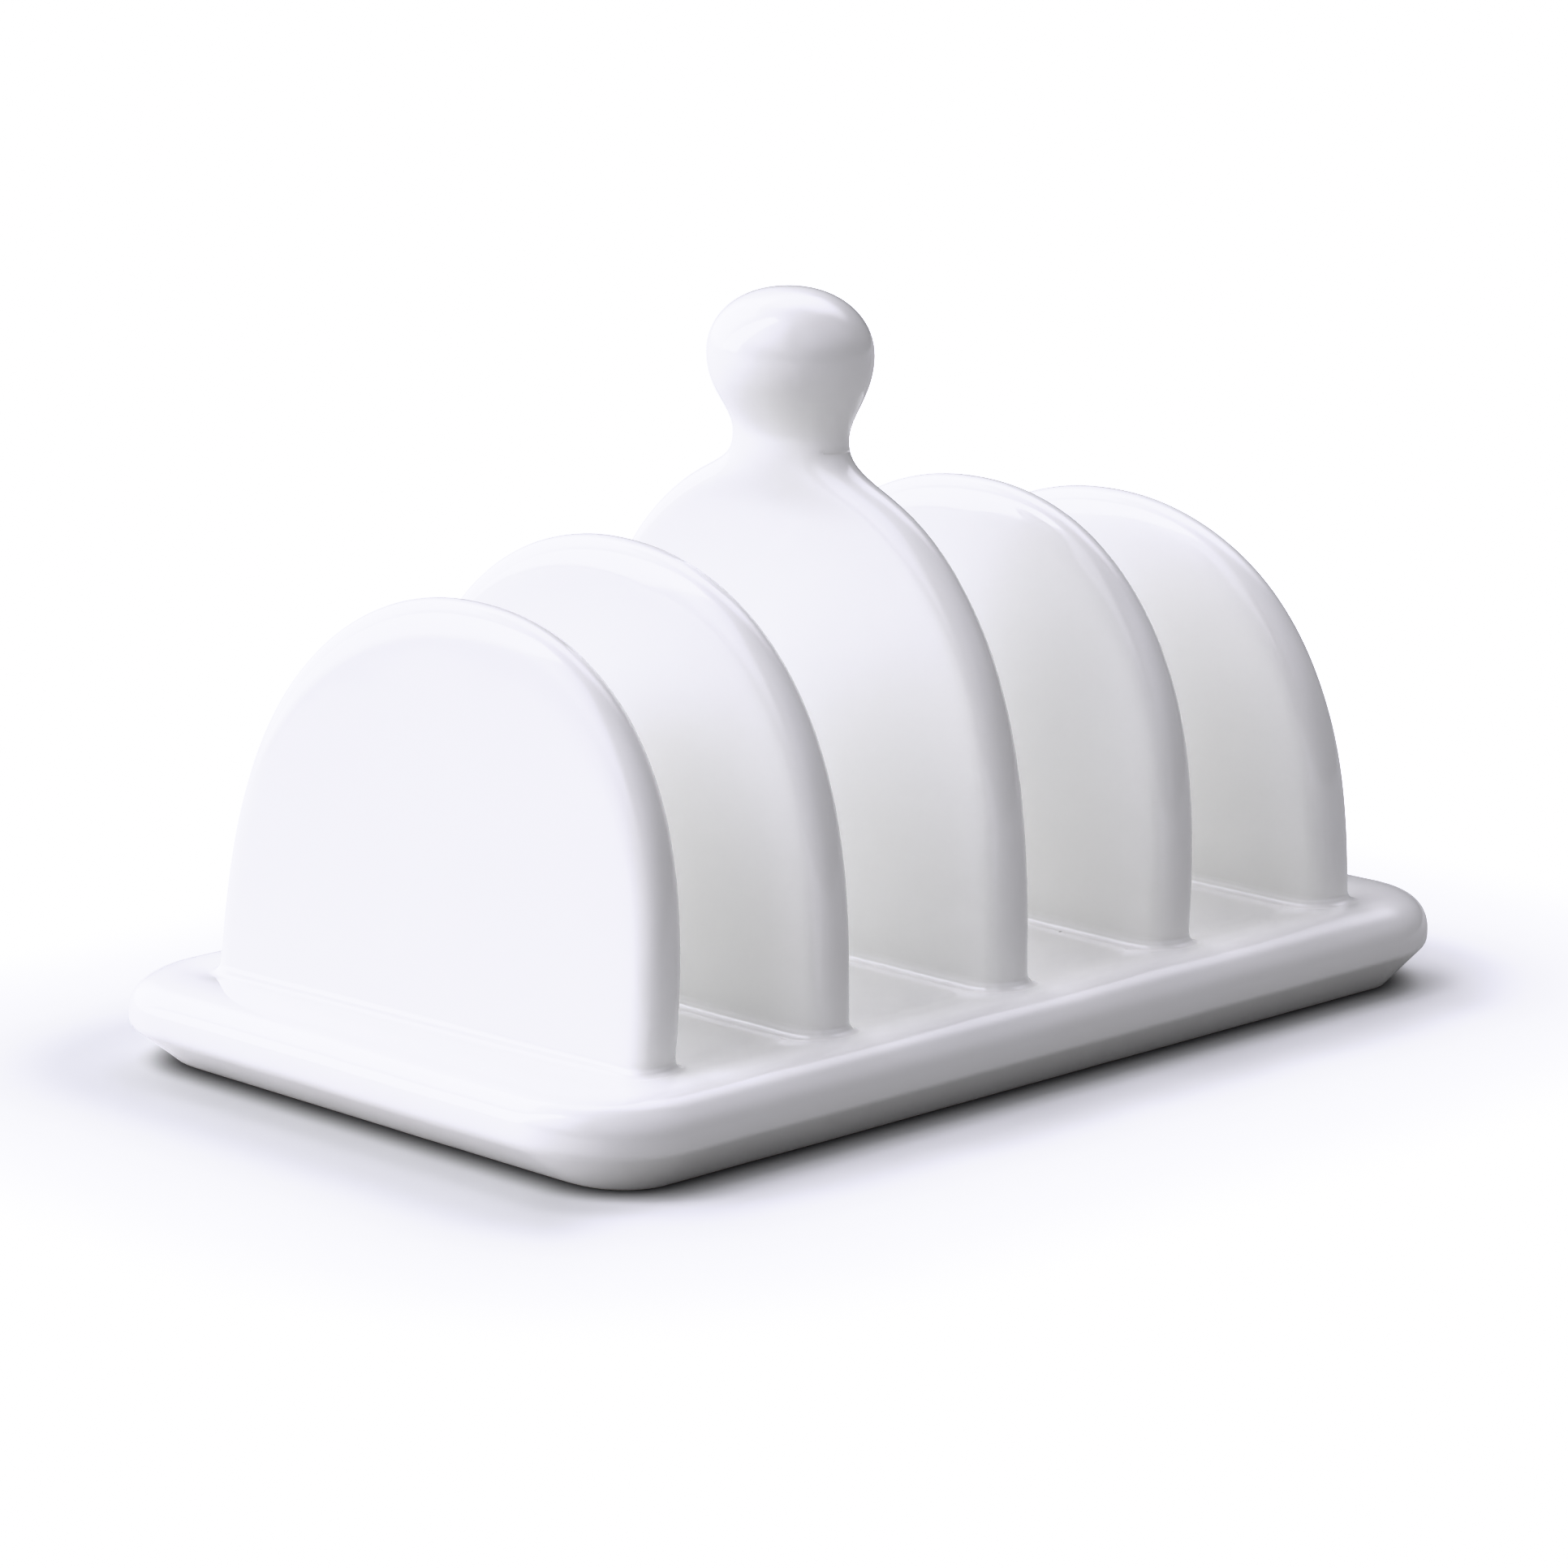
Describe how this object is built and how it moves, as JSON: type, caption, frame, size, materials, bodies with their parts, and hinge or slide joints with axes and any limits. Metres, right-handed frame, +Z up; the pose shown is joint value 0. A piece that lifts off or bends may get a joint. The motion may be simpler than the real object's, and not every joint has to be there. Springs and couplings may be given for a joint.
{
  "type": "toast rack",
  "caption": "Glazed porcelain toast rack: arched dividers graduated in height on a rolled-rim oblong base, with a knob on the centre one for lifting.",
  "frame": {"origin": "on the table, at the centre of the base plate's foot ring, under the centre divider", "axes": "+X along the rack from the front end divider to the rear end divider, +Y across the rack, +Z up"},
  "size_m": [0.1532, 0.094, 0.0929],
  "materials": {
    "white_glaze": "gloss"
  },
  "bodies": {
    "root": {"base_plate": "white_glaze", "front_end_divider": "white_glaze", "front_inner_divider": "white_glaze", "centre_divider": "white_glaze", "rear_inner_divider": "white_glaze", "rear_end_divider": "white_glaze", "lifting_knob": "white_glaze"}
  },
  "joints": []
}
